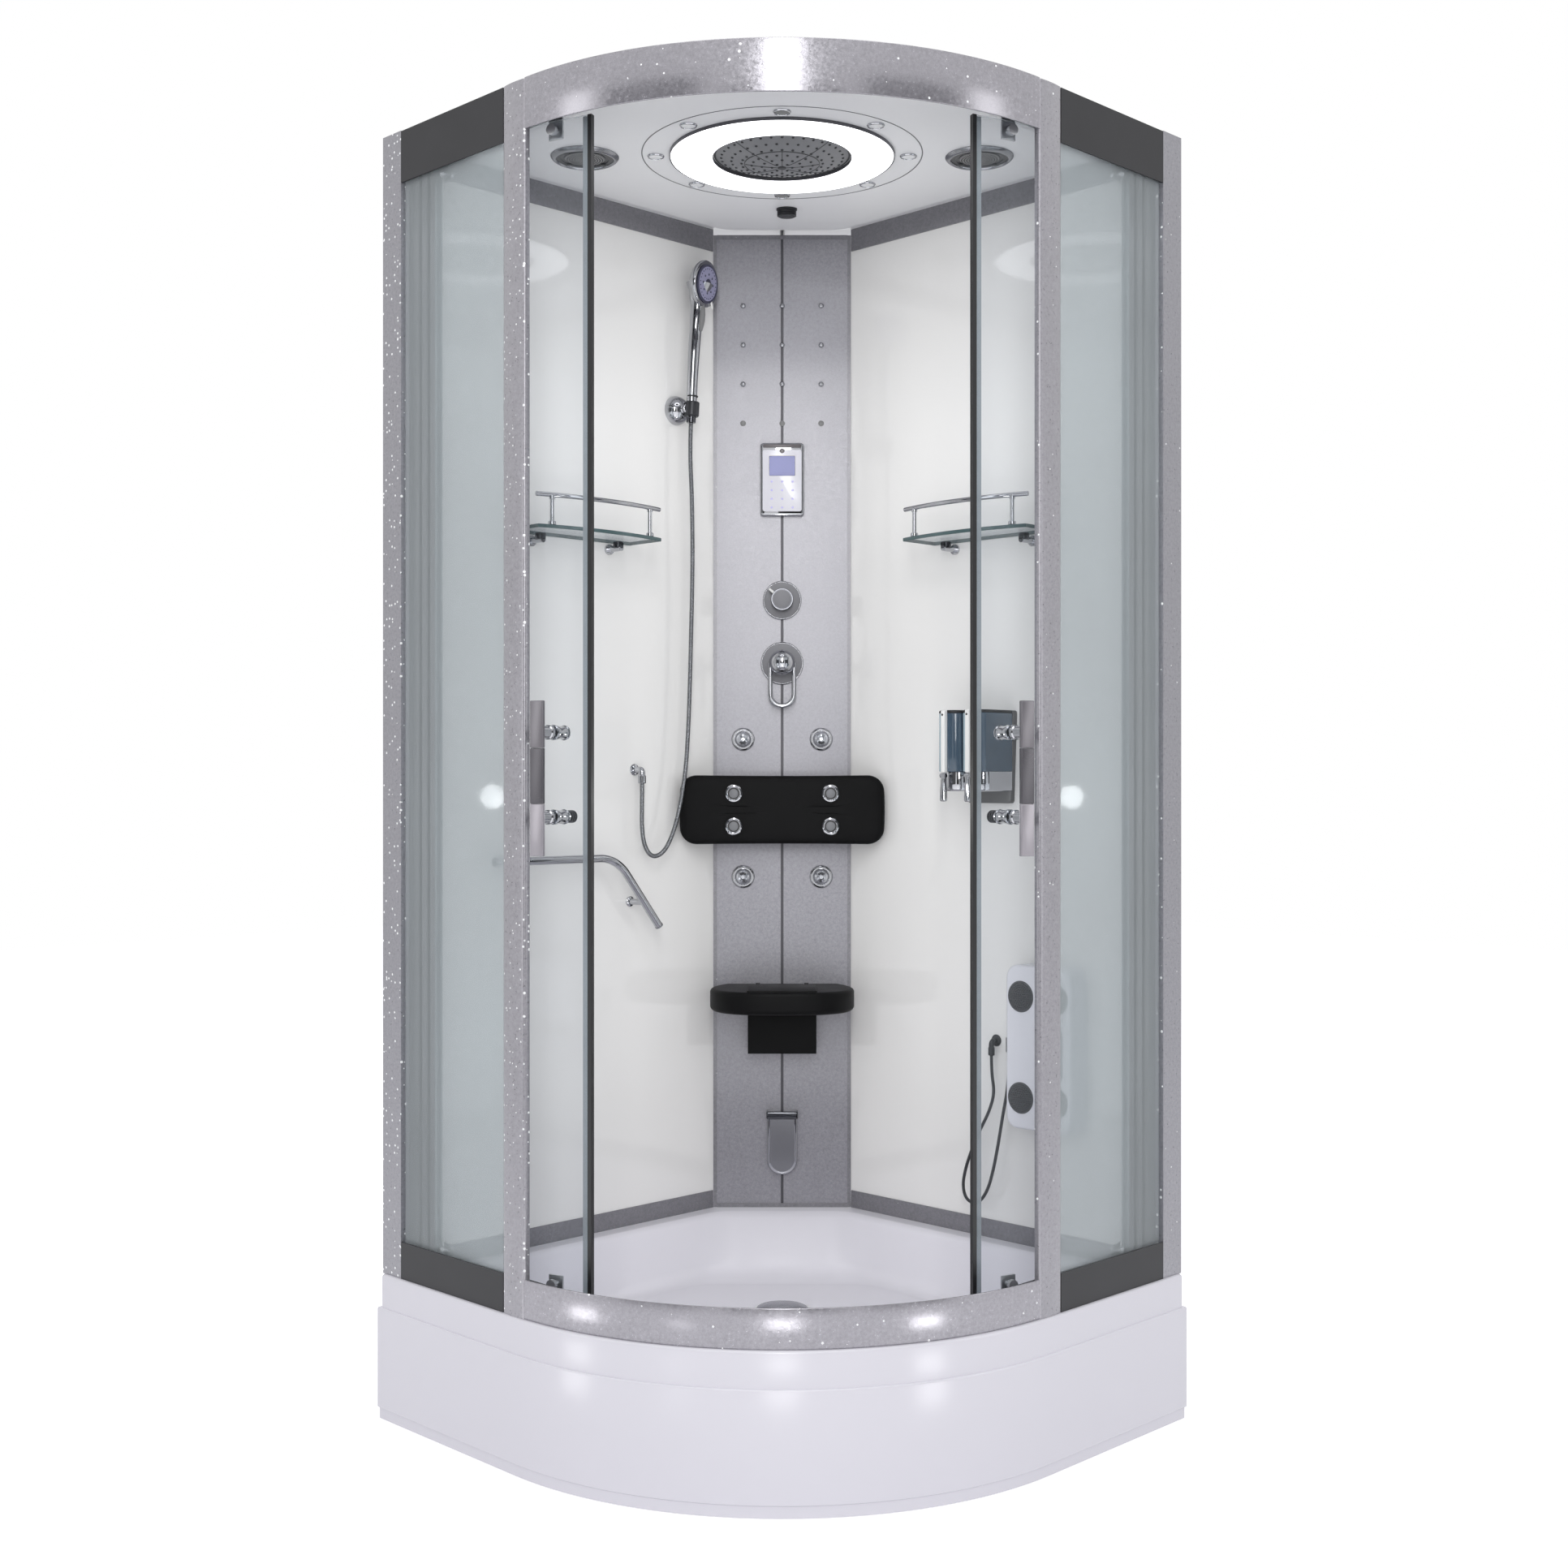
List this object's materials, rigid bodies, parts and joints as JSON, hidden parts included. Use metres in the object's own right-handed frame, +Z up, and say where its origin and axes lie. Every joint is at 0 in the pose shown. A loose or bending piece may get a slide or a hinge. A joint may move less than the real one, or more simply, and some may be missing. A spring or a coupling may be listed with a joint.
{
  "type": "corner steam shower cabin",
  "caption": "Quadrant corner steam shower cabin with sliding curved glass doors, deep tray, column with jets, seat, hand shower and lit ceiling.",
  "frame": {"origin": "on the floor, at the centre of the square that the tray fills", "axes": "+Z up; the room corner is at -X +Y, one room wall is the plane x = -0.45 m and the other y = +0.45 m; the doors face +X -Y"},
  "size_m": [0.9, 0.9, 2.017],
  "materials": {
    "tray_acrylic": "glossy acrylic with a faint lilac tint",
    "support_steel": "galvanised and grey painted",
    "zinc": "zinc plated",
    "waste_plastic": "moulded grey",
    "chrome": "polished chrome",
    "plated_plastic": "chrome plated plastic",
    "glitter_profile": "grey lacquer with fine white glitter",
    "dark_profile": "dark grey lacquer",
    "track_metal": "anodised",
    "clear_glass": "clear toughened glass",
    "smoked_tank": "smoky blue clear plastic with plated fittings",
    "seal_black": "black magnetic seal",
    "white_panel": "glossy white",
    "glitter_panel": "grey lacquer with fine white glitter",
    "ceiling_white": "glossy pale grey",
    "lamp": "white diffuser",
    "control_case": "silver case with a lilac screen",
    "pad_black": "soft black foam skin",
    "seat_black": "satin black",
    "brass": "bare",
    "boiler_case": "light grey case",
    "hose_metal": "wound metal skin",
    "hose_grey": "ribbed grey skin",
    "spray_lilac": "lilac grey spray plate",
    "massager_grey": "silver grey with dark discs"
  },
  "bodies": {
    "cabin": {"tray_shell": "tray_acrylic", "tray_apron": "tray_acrylic", "tray_frame": "support_steel", "tray_feet": "zinc", "drain_waste": "waste_plastic", "drain_cover": "chrome", "wall_posts": "glitter_profile", "door_posts": "glitter_profile", "top_rail_front": "glitter_profile", "bottom_rail_front": "glitter_profile", "side_rails": "dark_profile", "door_tracks": "track_metal", "side_panes": "clear_glass", "back_panels": "white_panel", "panel_trims": "glitter_profile", "column_panel": "glitter_panel", "ceiling_panel": "ceiling_white", "light_ring": "lamp", "rain_head": "plated_plastic", "ceiling_spots": "lamp", "speakers": "ceiling_white", "mini_nozzles": "plated_plastic", "control_panel": "control_case", "valve_plates": "chrome", "body_jet_rings": "plated_plastic", "backrest_cushion": "pad_black", "cushion_jets": "plated_plastic", "seat_bracket": "seat_black", "steam_outlet": "plated_plastic", "water_pipes": "brass", "steam_generator": "boiler_case", "handset_holder": "plated_plastic", "shower_hose": "hose_metal", "hose_elbows": "chrome", "shelf_glasses": "clear_glass", "shelf_rails": "chrome", "grab_bar": "chrome", "soap_dispenser": "smoked_tank", "foot_massager": "massager_grey", "massager_hose": "hose_grey"},
    "door_right": {"door_glass_right": "clear_glass", "door_seals_right": "seal_black", "door_handle_right": "chrome", "door_rollers_right": "zinc"},
    "door_left": {"door_glass_left": "clear_glass", "door_seals_left": "seal_black", "door_handle_left": "chrome", "door_rollers_left": "zinc"},
    "diverter": {"diverter_knob": "plated_plastic"},
    "mixer_core": {"mixer_stem": "brass"},
    "mixer_lever": {"mixer_handle": "chrome"},
    "jet_upper_left": {"body_jet_upper_left": "plated_plastic"},
    "jet_upper_right": {"body_jet_upper_right": "plated_plastic"},
    "jet_lower_left": {"body_jet_lower_left": "plated_plastic"},
    "jet_lower_right": {"body_jet_lower_right": "plated_plastic"},
    "seat": {"seat_board": "seat_black"},
    "handset": {"hand_shower": "plated_plastic"},
    "selector": {"spray_selector": "spray_lilac"},
    "soap_lever_left": {"dispenser_lever_left": "plated_plastic"},
    "soap_lever_right": {"dispenser_lever_right": "plated_plastic"}
  },
  "joints": [
    {"name": "door_right_slide", "type": "hinge", "parent": "cabin", "child": "door_right", "pos_m": [-0.34811, 0.19526, 0], "axis": [0, 0, -1], "range_deg": [0, 21.77]},
    {"name": "door_left_slide", "type": "hinge", "parent": "cabin", "child": "door_left", "pos_m": [-0.19526, 0.34811, 0], "axis": [0, 0, 1], "range_deg": [0, 21.77]},
    {"name": "diverter_turn", "type": "hinge", "parent": "cabin", "child": "diverter", "pos_m": [-0.32626, 0.32626, 1.3306], "axis": [0.7071, -0.7071, 0], "range_deg": [-90, 180]},
    {"name": "mixer_turn", "type": "hinge", "parent": "cabin", "child": "mixer_core", "pos_m": [-0.30766, 0.30766, 1.216], "axis": [0.7071, -0.7071, 0], "range_deg": [-45, 45]},
    {"name": "mixer_lift", "type": "hinge", "parent": "mixer_core", "child": "mixer_lever", "pos_m": [-0.30766, 0.30766, 1.216], "axis": [-0.7071, -0.7071, 0], "range_deg": [0, 25]},
    {"name": "jet_upper_left_tilt", "type": "hinge", "parent": "cabin", "child": "jet_upper_left", "pos_m": [-0.37788, 0.27747, 1.078], "axis": [0.7071, 0.7071, 0], "range_deg": [-15, 15]},
    {"name": "jet_upper_right_tilt", "type": "hinge", "parent": "cabin", "child": "jet_upper_right", "pos_m": [-0.27747, 0.37788, 1.078], "axis": [0.7071, 0.7071, 0], "range_deg": [-15, 15]},
    {"name": "jet_lower_left_tilt", "type": "hinge", "parent": "cabin", "child": "jet_lower_left", "pos_m": [-0.37788, 0.27747, 0.828], "axis": [0.7071, 0.7071, 0], "range_deg": [-15, 15]},
    {"name": "jet_lower_right_tilt", "type": "hinge", "parent": "cabin", "child": "jet_lower_right", "pos_m": [-0.27747, 0.37788, 0.828], "axis": [0.7071, 0.7071, 0], "range_deg": [-15, 15]},
    {"name": "seat_fold", "type": "hinge", "parent": "cabin", "child": "seat", "pos_m": [-0.32131, 0.32131, 0.627], "axis": [-0.7071, -0.7071, 0], "range_deg": [0, 90]},
    {"name": "handset_swivel", "type": "hinge", "parent": "cabin", "child": "handset", "pos_m": [-0.387, 0.15, 1.663], "axis": [1, 0, 0], "range_deg": [-5, 35], "deforming": ["shower_hose"]},
    {"name": "selector_turn", "type": "hinge", "parent": "handset", "child": "selector", "pos_m": [-0.373, 0.176, 1.886], "axis": [0.9516, 0.2855, -0.1142], "range_deg": [-25, 25]},
    {"name": "soap_left_push", "type": "hinge", "parent": "cabin", "child": "soap_lever_left", "pos_m": [0.06, 0.321, 1.012], "axis": [1, 0, 0], "range_deg": [0, 8], "stiffness_Nm_per_rad": 0.4, "springref_deg": -5.73},
    {"name": "soap_right_push", "type": "hinge", "parent": "cabin", "child": "soap_lever_right", "pos_m": [0.112, 0.321, 1.012], "axis": [1, 0, 0], "range_deg": [0, 8], "stiffness_Nm_per_rad": 0.4, "springref_deg": -5.73}
  ]
}
